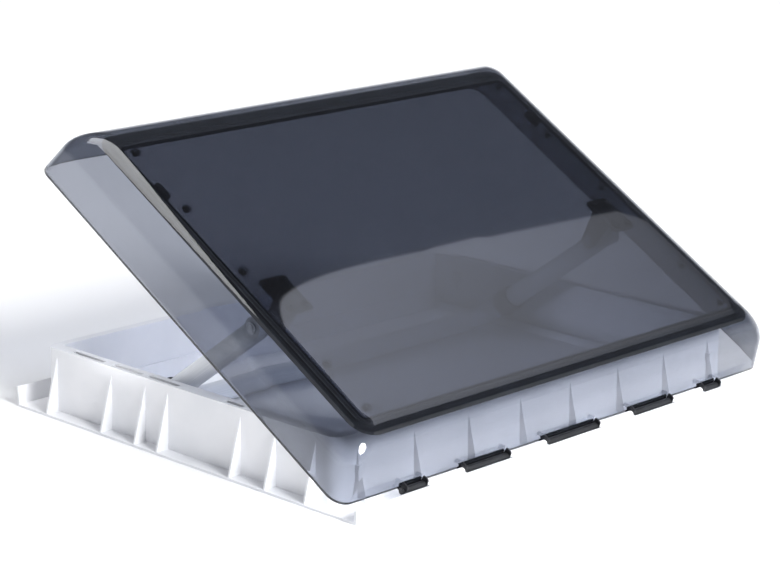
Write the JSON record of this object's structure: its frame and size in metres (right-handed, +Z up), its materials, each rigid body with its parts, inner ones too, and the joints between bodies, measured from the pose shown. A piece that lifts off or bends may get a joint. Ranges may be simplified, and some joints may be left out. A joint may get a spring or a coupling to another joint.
{
  "type": "caravan roof hatch",
  "caption": "Hinged tinted roof hatch on a ribbed rectangular frame, propped open by a U-shaped tube whose ends slide in side rails and lock when shut.",
  "frame": {"origin": "middle of the flange's underside, in plan the middle of the frame's and the lid's outline", "axes": "+X along the hinge, +Y from the hinge side to the side that opens, +Z up out of the roof"},
  "size_m": [0.808, 0.619, 0.3761],
  "materials": {
    "frame_white": "moulded, satin",
    "rail_grey": "moulded, low friction",
    "steel": "zinc plated",
    "cap_black": "moulded, matt",
    "dome_smoke": "clear smoke tint, thermoformed",
    "pane_smoke": "dark smoke tint, flat sheet",
    "seal_black": "extruded, matt",
    "strip_black": "extruded, matt",
    "spacer_clear": "clear",
    "screw_black": "black plated",
    "bracket_black": "moulded, fine texture",
    "eye_grey": "moulded, fine texture",
    "tube_silver": "satin anodised",
    "shoe_white": "moulded, low friction"
  },
  "bodies": {
    "frame": {"frame_front_rim": "frame_white", "frame_front_flange": "frame_white", "frame_front": "frame_white", "frame_back": "frame_white", "frame_left": "frame_white", "frame_right": "frame_white", "left_rail": "rail_grey", "right_rail": "rail_grey", "rail_screws": "steel", "hinge_rod": "steel", "rod_caps": "cap_black"},
    "lid": {"outer_dome": "dome_smoke", "inner_pane": "pane_smoke", "lid_seal": "seal_black", "left_end_hinge_strip": "strip_black", "left_middle_hinge_strip": "strip_black", "centre_hinge_strip": "strip_black", "right_middle_hinge_strip": "strip_black", "right_end_hinge_strip": "strip_black", "pane_spacers": "spacer_clear", "pane_screws": "screw_black", "pane_clips": "bracket_black", "left_bracket": "bracket_black", "right_bracket": "bracket_black", "bracket_screws": "screw_black", "left_pivot_pin": "steel", "right_pivot_pin": "steel", "pin_rings": "steel"},
    "bow": {"bow_tube": "tube_silver", "left_bow_eye": "eye_grey", "right_bow_eye": "eye_grey", "left_bow_guide": "bracket_black", "right_bow_guide": "bracket_black"},
    "left_shoe": {"left_shoe": "shoe_white"},
    "right_shoe": {"right_shoe": "shoe_white"},
    "left_lock": {"left_lock": "rail_grey"},
    "right_lock": {"right_lock": "rail_grey"}
  },
  "joints": [
    {"name": "lid_hinge", "type": "hinge", "parent": "frame", "child": "lid", "pos_m": [0, -0.2985, 0.017], "axis": [1, 0, 0], "range_deg": [-30.5, 29.5]},
    {"name": "bow_pivot", "type": "hinge", "parent": "lid", "child": "bow", "pos_m": [0, -0.0825, 0.17441], "axis": [1, 0, 0], "range_deg": [-59.5, 61.5]},
    {"name": "left_shoe_pivot", "type": "hinge", "parent": "bow", "child": "left_shoe", "pos_m": [-0.3555, 0.1335, 0.017], "axis": [1, 0, 0], "range_deg": [-31, 30]},
    {"name": "right_shoe_pivot", "type": "hinge", "parent": "bow", "child": "right_shoe", "pos_m": [0.3555, 0.1335, 0.017], "axis": [1, 0, 0], "range_deg": [-31, 30]},
    {"name": "left_lock_slide", "type": "slide", "parent": "frame", "child": "left_lock", "axis": [0, 0, 1], "range_m": [-0.014, 0]},
    {"name": "right_lock_slide", "type": "slide", "parent": "frame", "child": "right_lock", "axis": [0, 0, 1], "range_m": [-0.014, 0]}
  ],
  "couplings": [
    {"joint": "bow_pivot", "follows": "lid_hinge", "ratio": -2},
    {"joint": "left_shoe_pivot", "follows": "lid_hinge", "ratio": 1},
    {"joint": "right_shoe_pivot", "follows": "lid_hinge", "ratio": 1}
  ]
}
